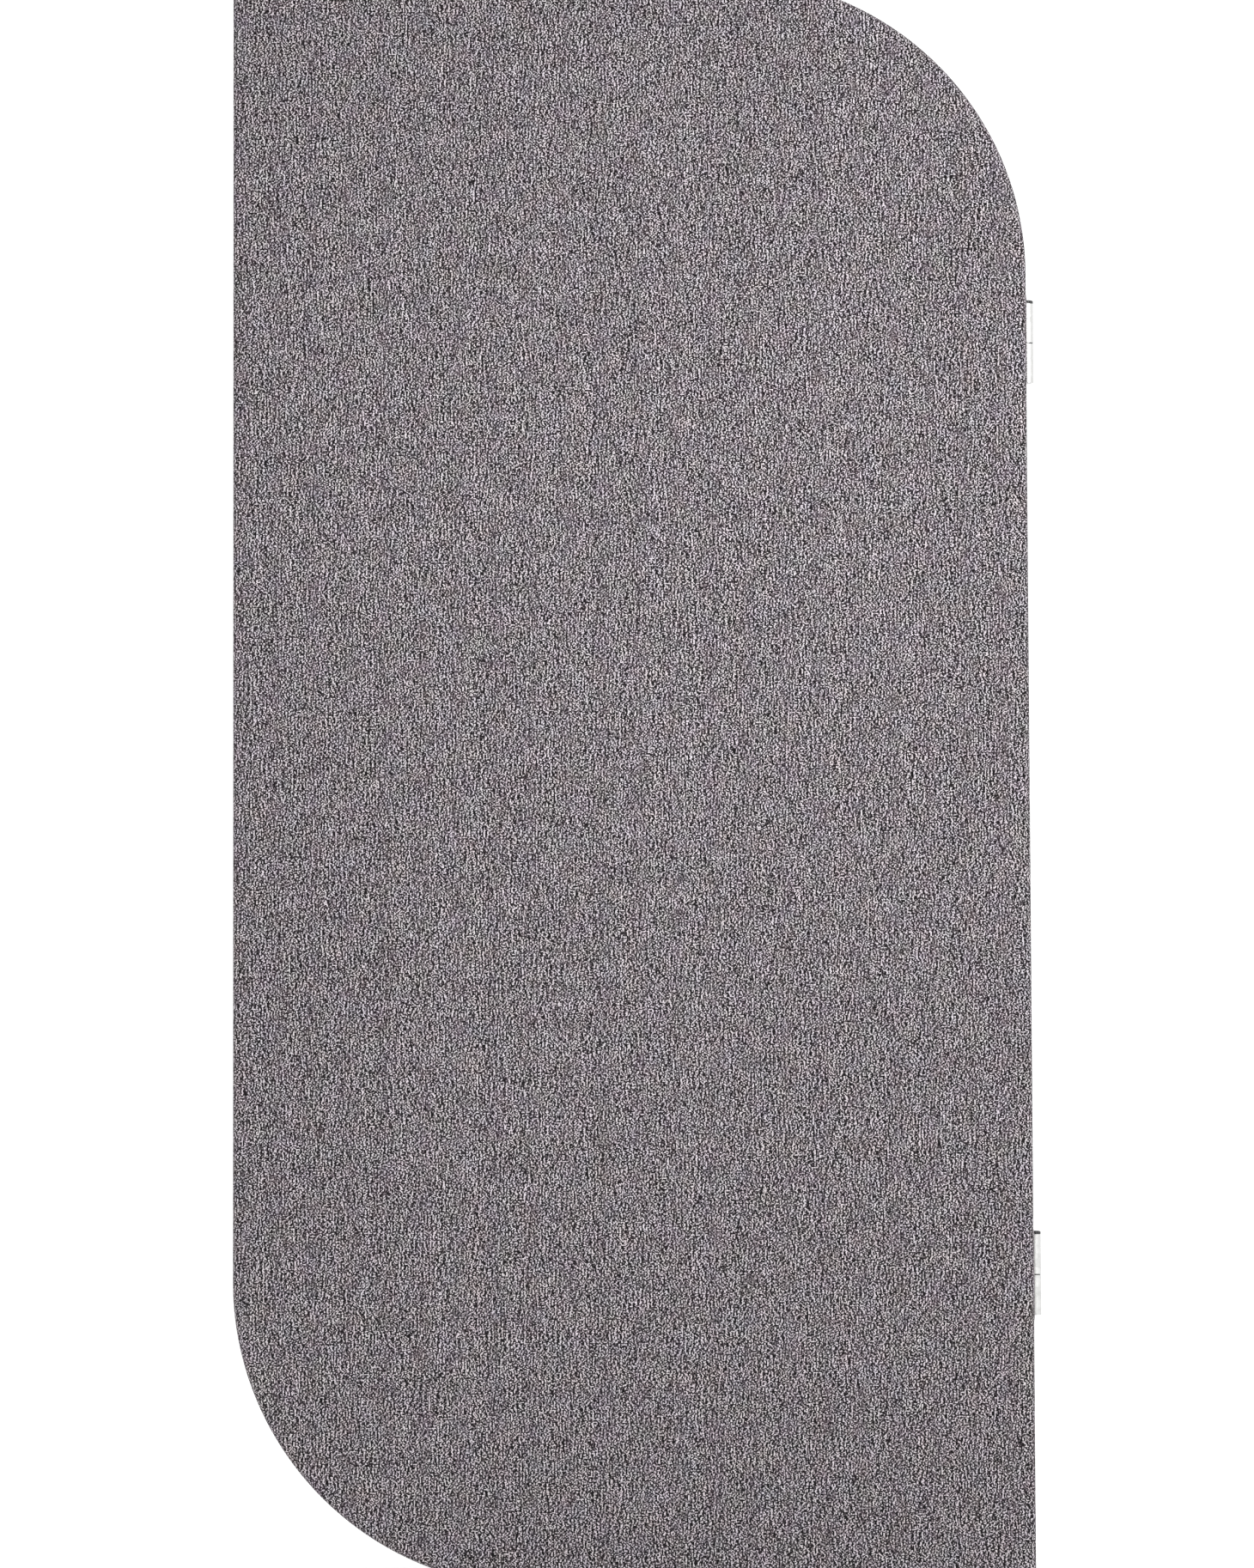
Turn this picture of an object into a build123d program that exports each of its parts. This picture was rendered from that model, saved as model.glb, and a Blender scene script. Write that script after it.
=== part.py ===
"""Folding acoustic divider screen: two fabric-covered panels on lift-off hinges, folded shut.

All lengths are in millimetres. +Z is up, X runs along the panels' width with the hinges at +X,
and the front panel lies towards -Y. The origin is on the floor, under the middle of the folded
screen. The rear panel is the front one's mirror image in the plane between them.
"""

from build123d import *
import os

# Panels
panel_width = 790.0
panel_height = 1600.0
panel_thickness = 40.0
panel_gap = 3.0
large_corner_radius = 300.0
small_corner_radius = 8.0

# Fabric covers, and the padding sheets under them
cover_thickness = 2.0
cover_edge_radius = 5.0
seam_groove = 0.8
padding_thickness = 4.0

# Timber frame and its dowels
frame_width = 60.0
mid_rail_width = 60.0
dowel_diameter = 8.0
dowel_length = 40.0
dowel_clearance = 0.1
dowel_shares = (0.3, 0.7)

# Hinges
hinge_height = 80.0
lower_hinge_height = 304.0
upper_hinge_drop = 65.5
pin_diameter = 6.0
pin_clearance = 0.05
pin_end_gap = 0.5
pin_chamfer = 0.8
leaf_thickness = 2.0
leaf_width = 26.0
leaf_corner_radius = 3.0
leaf_press = 0.5
knuckle_clearance = 0.5
knuckle_chamfer = 0.3
washer_thickness = 1.0
washer_diameter = 9.0
cap_diameter = 10.0
cap_height = 3.5
cap_rim_height = 1.2
cap_stem_length = 4.0

# Screws: countersunk in the hinge leaves, pan-headed in the glides
screw_diameter = 4.0
screw_length = 25.0
screw_point_length = 4.0
screw_clearance = 0.05
drive_length = 3.2
drive_slot_width = 0.9
drive_depth = 1.1
pan_head_diameter = 8.0
pan_head_height = 2.2
pan_head_chamfer = 0.6
hinge_screw_margin = 12.0
hinge_screws_per_leaf = 3

# Glides
glide_length = 60.0
glide_width = 36.0
glide_height = 5.0
glide_corner_radius = 6.0
glide_chamfer = 1.0
glide_setback = 46.0
glide_screw_spacing = 34.0
glide_counterbore_diameter = 9.5
glide_counterbore_depth = 3.0

# One overrun past a surface serves the cuts
overrun = 1.0

# The barrels stand out past the panels' edges, and the origin is midway over all
barrel_radius = pin_diameter / 2 + pin_clearance + leaf_thickness
hinge_offset = barrel_radius - leaf_press
overall_width = panel_width + hinge_offset + barrel_radius
panel_left = -overall_width / 2
panel_right = panel_left + panel_width
panel_bottom = glide_height
panel_top = panel_bottom + panel_height
panel_depth = (panel_gap + panel_thickness) / 2
hinge_x = panel_right + hinge_offset

# The frame's outside, its opening, and where the round corners begin
frame_left = panel_left + cover_thickness
frame_right = panel_right - cover_thickness
frame_bottom = panel_bottom + cover_thickness
frame_top = panel_top - cover_thickness
frame_thickness = panel_thickness - 2 * (cover_thickness + padding_thickness)
opening_left = frame_left + frame_width
opening_right = frame_right - frame_width
opening_bottom = frame_bottom + frame_width
opening_top = frame_top - frame_width
mid_rail_low = (panel_bottom + panel_top - mid_rail_width) / 2
mid_rail_high = mid_rail_low + mid_rail_width
round_left = panel_left + large_corner_radius
round_right = panel_right - large_corner_radius
round_low = panel_bottom + large_corner_radius
round_high = panel_top - large_corner_radius

# Each timber of the frame is what lies between two corners of this list
timber_corners = {
    "hinge_stile": ((opening_right, frame_bottom), (frame_right, round_high)),
    "free_stile": ((frame_left, round_low), (opening_left, frame_top)),
    "top_rail": ((opening_left, opening_top), (round_right, frame_top)),
    "bottom_rail": ((round_left, frame_bottom), (opening_right, opening_bottom)),
    "mid_rail": ((opening_left, mid_rail_low), (opening_right, mid_rail_high)),
    "top_corner": ((round_right, round_high), (frame_right, frame_top)),
    "bottom_corner": ((frame_left, frame_bottom), (round_left, round_low)),
}
core_corners = {
    "upper_core": ((opening_left, mid_rail_high), (opening_right, opening_top)),
    "lower_core": ((opening_left, opening_bottom), (opening_right, mid_rail_low)),
}

# Middle height of each hinge, and the length of its two knuckles
hinge_heights = {
    "upper_hinge": round_high - upper_hinge_drop,
    "lower_hinge": panel_bottom + lower_hinge_height,
}
knuckle_height = (hinge_height - washer_thickness) / 2
plate_near = barrel_radius + knuckle_clearance
leaf_inner_x = panel_right - leaf_press
leaf_outer_x = leaf_inner_x + leaf_thickness

# The drive end of each glide screw lies this high, up in its counterbore
glide_screw_level = glide_counterbore_depth - pan_head_height

# Along the world's -Y, which is the way that a sketch on Plane.XZ faces
towards_viewer = {"front": 1, "rear": -1}


def middle_plane(panel):
    """The plane halfway through a panel's thickness, facing the viewer."""
    return Plane.XZ.offset(towards_viewer[panel] * panel_depth)


def face_direction(panel, face):
    """1 where a panel's outer or inner face looks at the viewer, and -1 where it looks away."""
    return towards_viewer[panel] if face == "outer" else -towards_viewer[panel]


def end_face(part, direction):
    """The part's flat face nearest to the viewer, or with direction -1 the furthest one."""
    return part.faces().sort_by(Axis.Y)[0 if direction > 0 else -1]


def panel_outline(inset=0):
    """The panel's shape seen from the front, drawn in by inset all round."""
    left, right = panel_left + inset, panel_right - inset
    bottom, top = panel_bottom + inset, panel_top - inset
    large = large_corner_radius - inset
    small = max(small_corner_radius - inset, 0)
    with BuildSketch() as outline:
        with BuildLine():
            FilletPolyline(
                (left, bottom),
                (right, bottom),
                (right, top),
                (left, top),
                radius=(large, small, large, small),
                close=True,
            )
        make_face()
    return outline.sketch


def half_panel(panel, direction, inset):
    """The solid from a panel's middle plane to one face, drawn in by inset, with a round edge."""
    with BuildPart() as half:
        with BuildSketch(middle_plane(panel)):
            add(panel_outline(inset))
        extrude(amount=direction * (panel_thickness / 2 - inset))
        fillet(end_face(half, direction).edges(), radius=cover_edge_radius - inset)
    return half.part


def dowel_planes(panel):
    """A plane at the middle of each dowel, square to it: two dowels cross each joint."""
    depth = -towards_viewer[panel] * panel_depth
    planes = []
    for share in dowel_shares:
        across = share * frame_width
        level = mid_rail_low + share * mid_rail_width
        level_joints = (
            (round_left, frame_bottom + across),
            (opening_right, frame_bottom + across),
            (opening_left, frame_top - across),
            (round_right, frame_top - across),
            (opening_left, level),
            (opening_right, level),
        )
        upright_joints = (
            (frame_left + across, round_low),
            (frame_right - across, round_high),
        )
        planes += [Plane(origin=(x, depth, z), z_dir=(1, 0, 0)) for x, z in level_joints]
        planes += [Plane(origin=(x, depth, z)) for x, z in upright_joints]
    return planes


def hinge_screw_planes(panel):
    """A plane on the outer face of both hinge leaves at each screw, facing along +X."""
    side = -towards_viewer[panel]
    across = side * (plate_near + leaf_width) / 2
    reach = hinge_height / 2 - hinge_screw_margin
    step = 2 * reach / (hinge_screws_per_leaf - 1)
    return [
        Plane(origin=(leaf_outer_x, across, height - reach + i * step), z_dir=(1, 0, 0))
        for height in hinge_heights.values()
        for i in range(hinge_screws_per_leaf)
    ]


def glide_places(panel):
    """The middle of each glide on the floor, near the two ends of the bottom rail."""
    depth = -towards_viewer[panel] * panel_depth
    return [(round_left + glide_setback, depth), (opening_right - glide_setback, depth)]


def glide_screw_planes(panel, height):
    """A plane at that height on the axis of each glide screw, facing down: two screws a glide."""
    return [
        Plane(origin=(x + side * glide_screw_spacing / 2, y, height), z_dir=(0, 0, -1))
        for x, y in glide_places(panel)
        for side in (-1, 1)
    ]


def leaf_outline(hinge, panel):
    """A hinge leaf laid flat, as Y and Z: a plate, and a tongue to its own knuckle.

    The front panel's leaf has its knuckle at the bottom, and the rear panel's has it at the top.
    """
    side = -towards_viewer[panel]
    middle = hinge_heights[hinge]
    own_end = middle + side * hinge_height / 2
    other_end = middle - side * hinge_height / 2
    own_joint = own_end - side * knuckle_height
    with BuildSketch() as outline:
        with BuildLine():
            FilletPolyline(
                (0, own_end),
                (side * leaf_width, own_end),
                (side * leaf_width, other_end),
                (side * plate_near, other_end),
                (side * plate_near, own_joint),
                (0, own_joint),
                radius=(0, leaf_corner_radius, leaf_corner_radius, 0, 0, 0),
                close=True,
            )
        make_face()
    return outline.sketch


def screw(*head_points):
    """A wood screw that points down from the origin, with a crossed slot in its head.

    The head's points are its rim and its underside, as distances from the axis and heights.
    """
    with BuildPart() as body:
        with BuildSketch(Plane.XZ):
            with BuildLine():
                Polyline(
                    (0, 0),
                    *head_points,
                    (screw_diameter / 2, screw_point_length - screw_length),
                    (0, -screw_length),
                    close=True,
                )
            make_face()
        revolve(axis=Axis.Z)
        with BuildSketch(Plane.XY):
            Rectangle(drive_length, drive_slot_width)
            Rectangle(drive_slot_width, drive_length)
        extrude(amount=-drive_depth, mode=Mode.SUBTRACT)
    return body.part


def make_timber(panel, name):
    """One member of a panel's frame, drilled for its dowels and screws."""
    (left, low), (right, high) = timber_corners[name]
    with BuildPart() as timber:
        with BuildSketch(middle_plane(panel)):
            add(panel_outline(cover_thickness))
            if name != "mid_rail":
                add(panel_outline(cover_thickness + frame_width), mode=Mode.SUBTRACT)
            with Locations((left, low)):
                Rectangle(
                    right - left, high - low, align=(Align.MIN, Align.MIN), mode=Mode.INTERSECT
                )
        extrude(amount=frame_thickness / 2, both=True)
        with Locations(dowel_planes(panel)):
            Cylinder(
                radius=dowel_diameter / 2 + dowel_clearance,
                height=dowel_length + 2 * overrun,
                mode=Mode.SUBTRACT,
            )
        if name == "hinge_stile":
            with Locations(hinge_screw_planes(panel)):
                Hole(radius=screw_diameter / 2 + screw_clearance, depth=screw_length + overrun)
        if name == "bottom_rail":
            with Locations(glide_screw_planes(panel, glide_screw_level)):
                Hole(radius=screw_diameter / 2 + screw_clearance, depth=screw_length + overrun)
    timber.part.label = f"{panel}_{name}"
    export_step(timber.part, f"parts/{timber.part.label}.step")


def make_dowels(panel):
    """All the dowels of a panel's frame."""
    with BuildPart() as dowels:
        with Locations(dowel_planes(panel)):
            Cylinder(radius=dowel_diameter / 2, height=dowel_length)
    dowels.part.label = f"{panel}_frame_dowels"
    export_step(dowels.part, f"parts/{dowels.part.label}.step")


def make_core(panel, name):
    """A slab of sound-absorbing felt that fills one opening of the frame."""
    (left, low), (right, high) = core_corners[name]
    with BuildPart() as core:
        with BuildSketch(middle_plane(panel)):
            add(panel_outline(cover_thickness + frame_width))
            with Locations((left, low)):
                Rectangle(
                    right - left, high - low, align=(Align.MIN, Align.MIN), mode=Mode.INTERSECT
                )
        extrude(amount=frame_thickness / 2, both=True)
    core.part.label = f"{panel}_{name}"
    export_step(core.part, f"parts/{core.part.label}.step")


def make_padding(panel, face):
    """A padding sheet between the frame and the cover, on one face of a panel."""
    direction = face_direction(panel, face)
    frame_face = middle_plane(panel).offset(direction * frame_thickness / 2)
    with BuildPart() as padding:
        add(half_panel(panel, direction, cover_thickness))
        split(bisect_by=frame_face, keep=Keep.TOP if direction > 0 else Keep.BOTTOM)
    padding.part.label = f"{panel}_{face}_padding"
    export_step(padding.part, f"parts/{padding.part.label}.step")


def make_cover(panel, face):
    """A fabric cover over one face and half of the edge, with beds for the hinge leaves."""
    direction = face_direction(panel, face)
    with BuildPart() as cover:
        add(half_panel(panel, direction, 0))
        chamfer(end_face(cover, -direction).edges(), length=seam_groove)
        add(half_panel(panel, direction, cover_thickness), mode=Mode.SUBTRACT)
        with BuildSketch(Plane.YZ.offset(leaf_inner_x)):
            for hinge in hinge_heights:
                add(leaf_outline(hinge, panel))
        extrude(amount=leaf_thickness, mode=Mode.SUBTRACT)
        with Locations(
            hinge_screw_planes(panel) + glide_screw_planes(panel, glide_screw_level)
        ):
            Hole(radius=screw_diameter / 2 + screw_clearance, depth=screw_length)
    cover.part.label = f"{panel}_{face}_cover"
    export_step(cover.part, f"parts/{cover.part.label}.step")


def make_hinge_screws(panel):
    """The countersunk screws of both leaves on a panel: a 90 degree head fills the leaf."""
    shank_radius = screw_diameter / 2
    with BuildPart() as hinge_screws:
        with Locations(hinge_screw_planes(panel)):
            add(screw((shank_radius + leaf_thickness, 0), (shank_radius, -leaf_thickness)))
    hinge_screws.part.label = f"{panel}_hinge_screws"
    export_step(hinge_screws.part, f"parts/{hinge_screws.part.label}.step")


def make_glides(panel):
    """The oblong nylon glides that the panel stands on, counterbored from below."""
    with BuildPart() as glides:
        with BuildSketch(Plane.XY):
            with Locations(glide_places(panel)):
                RectangleRounded(glide_length, glide_width, glide_corner_radius)
        extrude(amount=glide_height)
        chamfer(glides.faces().group_by(Axis.Z)[0].edges(), length=glide_chamfer)
        with Locations(glide_screw_planes(panel, 0)):
            CounterBoreHole(
                radius=screw_diameter / 2 + screw_clearance,
                counter_bore_radius=glide_counterbore_diameter / 2,
                counter_bore_depth=glide_counterbore_depth,
                depth=glide_height,
            )
    glides.part.label = f"{panel}_glides"
    export_step(glides.part, f"parts/{glides.part.label}.step")


def make_glide_screws(panel):
    """The pan-headed screws that hold the glides."""
    head_radius = pan_head_diameter / 2
    head_points = (
        (head_radius - pan_head_chamfer, 0),
        (head_radius, -pan_head_chamfer),
        (head_radius, -pan_head_height),
        (screw_diameter / 2, -pan_head_height),
    )
    with BuildPart() as glide_screws:
        with Locations(glide_screw_planes(panel, glide_screw_level)):
            add(screw(*head_points))
    glide_screws.part.label = f"{panel}_glide_screws"
    export_step(glide_screws.part, f"parts/{glide_screws.part.label}.step")


def make_leaf(hinge, panel):
    """One leaf of a hinge: the front panel's holds the pin, and the rear panel's turns on it."""
    is_pin_leaf = panel == "front"
    low = hinge_heights[hinge] + (-hinge_height / 2 if is_pin_leaf else washer_thickness / 2)
    bore_radius = pin_diameter / 2 + (0 if is_pin_leaf else pin_clearance)
    with BuildPart() as leaf:
        with BuildSketch(Plane.XY.offset(low)):
            with Locations((hinge_x, 0)):
                Circle(barrel_radius)
        extrude(amount=knuckle_height)
        chamfer(leaf.edges().filter_by(GeomType.CIRCLE), length=knuckle_chamfer)
        with BuildSketch(Plane.YZ.offset(leaf_inner_x)):
            add(leaf_outline(hinge, panel))
        extrude(amount=leaf_thickness)
        with Locations((hinge_x, 0, low + knuckle_height)):
            Hole(radius=bore_radius, depth=knuckle_height)
        with Locations(hinge_screw_planes(panel)):
            CounterSinkHole(
                radius=screw_diameter / 2 + screw_clearance,
                counter_sink_radius=screw_diameter / 2 + leaf_thickness + screw_clearance,
                counter_sink_angle=90,
                depth=leaf_thickness,
            )
    leaf.part.label = f"{hinge}_{'pin' if is_pin_leaf else 'socket'}_leaf"
    export_step(leaf.part, f"parts/{leaf.part.label}.step")


def make_pin(hinge):
    """The hinge pin, from the bottom of the lower knuckle to just under the cap's stem."""
    low = hinge_heights[hinge] - hinge_height / 2
    length = hinge_height - cap_stem_length - pin_end_gap
    with BuildPart() as pin:
        with BuildSketch(Plane.XY.offset(low)):
            with Locations((hinge_x, 0)):
                Circle(pin_diameter / 2)
        extrude(amount=length)
        chamfer(pin.faces().sort_by(Axis.Z)[-1].edges(), length=pin_chamfer)
    pin.part.label = f"{hinge}_pin"
    export_step(pin.part, f"parts/{pin.part.label}.step")


def make_washer(hinge):
    """The dark ring between the two knuckles."""
    with BuildPart() as washer:
        with BuildSketch(Plane.XY.offset(hinge_heights[hinge] - washer_thickness / 2)):
            with Locations((hinge_x, 0)):
                Circle(washer_diameter / 2)
                Circle(pin_diameter / 2 + pin_clearance, mode=Mode.SUBTRACT)
        extrude(amount=washer_thickness)
    washer.part.label = f"{hinge}_washer"
    export_step(washer.part, f"parts/{washer.part.label}.step")


def make_cap(hinge):
    """The domed plug in the top of the upper knuckle."""
    top = hinge_heights[hinge] + hinge_height / 2
    stem_radius = pin_diameter / 2 + pin_clearance
    cap_radius = cap_diameter / 2
    with BuildPart() as cap:
        with BuildSketch(Plane(origin=(hinge_x, 0, top), x_dir=(1, 0, 0), z_dir=(0, -1, 0))):
            with BuildLine():
                Polyline(
                    (0, cap_height),
                    (0, -cap_stem_length),
                    (stem_radius, -cap_stem_length),
                    (stem_radius, 0),
                    (cap_radius, 0),
                    (cap_radius, cap_rim_height),
                )
                TangentArc((0, cap_height), (cap_radius, cap_rim_height), tangent=(1, 0))
            make_face()
        revolve(axis=Axis((hinge_x, 0, top), (0, 0, 1)))
    cap.part.label = f"{hinge}_cap"
    export_step(cap.part, f"parts/{cap.part.label}.step")


os.makedirs("parts", exist_ok=True)
for panel_name in towards_viewer:
    for timber_name in timber_corners:
        make_timber(panel_name, timber_name)
    make_dowels(panel_name)
    for core_name in core_corners:
        make_core(panel_name, core_name)
    for face_name in ("outer", "inner"):
        make_padding(panel_name, face_name)
        make_cover(panel_name, face_name)
    make_glides(panel_name)
    make_glide_screws(panel_name)
    make_hinge_screws(panel_name)
for hinge_name in hinge_heights:
    for panel_name in towards_viewer:
        make_leaf(hinge_name, panel_name)
    make_pin(hinge_name)
    make_washer(hinge_name)
    make_cap(hinge_name)
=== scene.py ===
"""Looks of the folding acoustic screen: melange cloth covers on felt and timber, steel hinges, nylon glides.

Lengths are in metres. X runs along the panels' width, the front panel lies towards -Y, and +Z is up.
"""

import math

import bpy
import numpy as np
from mathutils import Matrix, Vector, geometry


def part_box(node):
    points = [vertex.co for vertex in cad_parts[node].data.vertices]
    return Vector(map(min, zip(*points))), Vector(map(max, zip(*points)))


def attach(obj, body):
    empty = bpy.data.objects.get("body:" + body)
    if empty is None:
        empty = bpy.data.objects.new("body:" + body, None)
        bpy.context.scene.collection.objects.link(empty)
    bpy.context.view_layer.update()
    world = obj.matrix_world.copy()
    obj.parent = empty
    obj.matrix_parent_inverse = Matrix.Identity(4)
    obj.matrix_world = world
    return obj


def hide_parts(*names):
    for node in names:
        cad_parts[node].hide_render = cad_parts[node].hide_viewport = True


MM = 0.001

# The two panels, with the side each faces when folded, and the hinges
OUTWARD = {"front": -1, "rear": 1}
HINGES = ("upper_hinge", "lower_hinge")

# The panel's outline and the section of its edge, as the frame has them
LARGE_RADIUS = 300 * MM
SMALL_RADIUS = 8 * MM
PANEL_RADII = (LARGE_RADIUS, SMALL_RADIUS, LARGE_RADIUS, SMALL_RADIUS)
EDGE_RADIUS = 5 * MM
COVER_THICKNESS = 2 * MM
FRAME_WIDTH = 60 * MM

# Cloth: its own thickness, the seam at the middle of the edge, and how it gives over the padding
CLOTH_THICKNESS = 1.2 * MM
SEAM_DEPTH = 1.0 * MM
SEAM_REACH = 1.3 * MM
EDGE_SINK = 0.7 * MM
EDGE_SINK_REACH = 14 * MM
FACE_WAVE = 0.28 * MM
FACE_WAVE_LENGTHS = (70 * MM, 420 * MM)
FACE_WAVE_FADE = 40 * MM

# Puckers beside the seam, and the seed and the line of the random field that they come from
PUCKER_DEPTH = 0.18 * MM
PUCKER_REACH = 4 * MM
PUCKER_LENGTHS = (7 * MM, 22 * MM)
PUCKER_SEED = 5
PUCKER_LINE = 3.0

# How close the points of a cover are: along the outline, beside the hinges, and on the face
OUTLINE_STEP = 3 * MM
HINGE_STEP = 1 * MM
HINGE_ZONE = 54 * MM
RING_INSET = 7 * MM
FACE_STEP = 10 * MM

# The points inside a ring start this many steps away from it
CLEAR_OF_RING = 0.6

# A point of the outline is on the hinges' side if the part of its normal along X is more than this
HINGE_SIDE = 0.999

# Rows of a cover's edge, in millimetres behind the face, and the steps of the arc between edge and face
SEAM_STEPS = (20.0, 19.55, 19.1, 18.5, 17.6)
SIDE_STEPS = (16.4, 15.0, 13.6, 12.2, 10.8, 9.4, 8.0, 6.8, 5.8)
ARC_STEPS = 7

# Cloth round the hinge leaves: pressed in under the plate, and raised in a lip beside it
LEAF_NEAR = 5.55 * MM
LEAF_FAR = 26 * MM
LEAF_HALF_HEIGHT = 40 * MM
LEAF_CORNER = 3 * MM
LEAF_PRESS = 0.6 * MM
LIP_START = 0.8 * MM
LIP_HEIGHT = 1.3 * MM
LIP_PLACE = 2.2 * MM
LIP_REACH = 9 * MM

# Where on the bolt of cloth the first cover was cut; the others follow at the same step
CLOTH_CUT = np.array((1.13, 1.91))

# The second UV map of a cover: the outer side fills the square above two thin strips
BAKE_MAP = "OFBake"
BAKE_MARGIN = 0.002
BAKE_INNER = 0.012
BAKE_EDGE = 0.018
BAKE_EDGE_WIDTH = 0.004
BAKE_SIDE = 0.026

# Thread in the seam. A stitch dips and thins towards its two ends
STITCH_PITCH = 4 * MM
STITCH_HALF_WIDTH = 1.5 * MM
STITCH_RADIUS = 0.24 * MM
STITCH_SLANT = 0.9 * MM
STITCH_SUNK = 0.5 * MM
STITCH_DIP = 0.5
STITCH_THINNING = 0.35
STITCH_ROWS = 5
STITCH_SIDES = 6

# Felt sheets and core slabs. A face starts this many radii of the soft edge inside the outline
FELT_STEP = 14 * MM
FELT_FACE_STEP = 24 * MM
FELT_EDGE = 1.2 * MM
CORE_EDGE = 2 * FELT_EDGE
FELT_RIM = 1.5
FELT_ARC_STEPS = 3
FELT_WAVE = 0.12 * MM
FELT_WAVE_LENGTHS = (50 * MM, 220 * MM)

# The core slabs' small corners, their fill, and what sets their seeds apart from the sheets'
CORE_CORNER = 2 * MM
CORE_SEED = 40

# Cap of the hinge
CAP_FLUTES = 10
CAP_FLUTE_DEPTH = 0.8 * MM
CAP_FLUTE_SHARPNESS = 1.5
CAP_RING_POINTS = 120
CAP_STEM = 0.6
CAP_STEM_END = 0.85
CAP_STEM_BREAK = 0.5 * MM
CAP_WELD = 0.001 * MM

# The cap above its seat: shares of its radius and of its height, and of the flutes' full depth
CAP_CROWN = (
    (0.9, 0.0, 0.4),
    (0.98, 0.05, 0.8),
    (1.0, 0.13, 1),
    (1.0, 0.62, 1),
    (0.975, 0.7, 0.8),
    (0.9, 0.79, 0.3),
    (0.75, 0.89, 0),
    (0.45, 0.975, 0),
    (0.0, 1.0, 0),
)

# Camera, fitted to the panel's outline in the photograph
PHOTO_WIDTH, PHOTO_HEIGHT = 1460, 1826
FOCAL_PIXELS = 7059.4
SENSOR_WIDTH = 36
CAMERA_PLACE = (-9.2 * MM, -6036.5 * MM, 405 * MM)
CAMERA_PITCH = math.radians(3.729)
CAMERA_ROLL = math.radians(-0.221)
CAMERA_REACH = (0.1, 200.0)

# Light: each soft square light has a place, a target, a size and a power in watts
WORLD_LIGHT = 1.18
FLOOR_SIZE = 60.0
KEY_LIGHT = ((0.43, -1.4, 1.56), (-0.29, 0, -0.53), 0.8, 28)
RIM_LIGHT = ((-2.4, 2.8, 2.4), (0, 0, 0.9), 1.5, 40)

# Cloth tones, as display values from 0 to 1 before they become reflectance. Pitches are in millimetres
CLOTH_TONE = 0.3
TONE_LIMITS = (0.01, 1.0)
CLOTH_GAIN = 0.685
DISPLAY_GAMMA = 2.2

# Flecks. Each layer has its pitch across and up, where its noise starts, its thinning, sway and contrast
FLECKS = (
    ((1.45, 1.4), 0.0, (0.2, 0.15), 0.0, 3.0),
    ((1.5, 5.0), 47.1, (0.35, 0.0), 2.0, 1.3),
    ((1.6, 18.0), 63.7, (0.35, 0.0), 7.0, 1.0),
)
THINNING_STEP = (1.7, 1.9)
SWAY_PITCH = 3.7

# Waves across and up, and patches, in which the flecks have more or less contrast
WAVE_PITCH = 36.0
WAVE_CONTRAST = (0.22, 0.12)
PATCH_PITCH = (17.0, 21.0)
PATCH_START = 3.7
PATCH_CONTRAST = 0.5
CONTRAST_DIMMING = 0.245

# Upright bands, level bands and blotches of tone: pitch, where the noise starts, and strength
BROAD_TONES = (
    ((55.0, 900.0), 8.3, 0.05),
    ((900.0, 55.0), 2.9, 0.03),
    ((24.0, 34.0), 19.7, 0.04),
)

# Casts, as what they add to red, green and blue: the whole cloth's, and a pink and a blue one in
# patches, each with where its noise starts
CLOTH_CAST = (0.0285, 0.0, 0.0185)
CAST_PITCH = (26.0, 28.0)
CASTS = ((31.1, (0.054, 0.0, 0.02)), (57.3, (0.0, 0.0, 0.056)))

# The plain weave under the tones: a grain is one yarn where it passes over another
WEAVE_PITCH = (0.74, 0.9)
WEAVE_WANDER = 1.1
WANDER_PITCH = 4.0
ARCH_SPAN = 0.85
RIDGE_FLATNESS = 0.6
# How dark a grain's rim is against its crown: painted shade in the hollows between grains, partly the darker
# yarn that shows there
PAINTED_RIM_SHADE = 0.58
CLOTH_BUMP = (0.6, 0.22 * MM)

# Fibres in a grain, and what they do to its tone, height and roughness
FIBRE_PITCH = (0.075, 0.7)
FIBRE_TWIST = 0.45
FIBRE_SHUFFLE = (7.31, 5.87, 0)
FIBRE_TONE = 0.16
FIBRE_HEIGHT = 0.25
FIBRE_GLOSS = 0.2

# Twist of the sewing thread
TWIST_PITCH = 0.5 * MM
TWIST_SCALE = 0.5
TWIST_BEND = 0.6

# Felt: how many times a fibre's size its lumps and odd fibres are, and where the odd ones' noise starts
LUMP_SIZE = 14
ODD_SIZE = 1.7
ODD_START = (9.1, 4.3, 2.2)

# Each felt's dark, light and odd colours and its fibre size
PALE_FELT = ((0.5, 0.49, 0.46), (0.78, 0.77, 0.74), (0.35, 0.36, 0.4), 1.1 * MM)
DARK_FELT = ((0.07, 0.075, 0.085), (0.26, 0.265, 0.28), (0.5, 0.5, 0.52), 1.6 * MM)

# Timber: how many times longer than wide its figure is, how that wanders, and its rings and pores
FIGURE_LENGTH = 26
FIGURE_WANDER = (3.5, 3.5, 3.5)
FIGURE_WANDER_SCALE = 0.35
RING_SCALE = 0.32
RING_BEND = 1.6
LATE_WOOD_START = 0.72
LATE_WOOD_SHARE = 0.45
PORE_PITCH = 0.45 * MM
PORE_LENGTH = 16 * MM

# Each timber's pale and dark colours and its ring pitch
SOFTWOOD = ((0.62, 0.45, 0.26), (0.42, 0.24, 0.11), 5 * MM)
BEECH = ((0.66, 0.49, 0.33), (0.52, 0.34, 0.2), 1.6 * MM)

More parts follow.
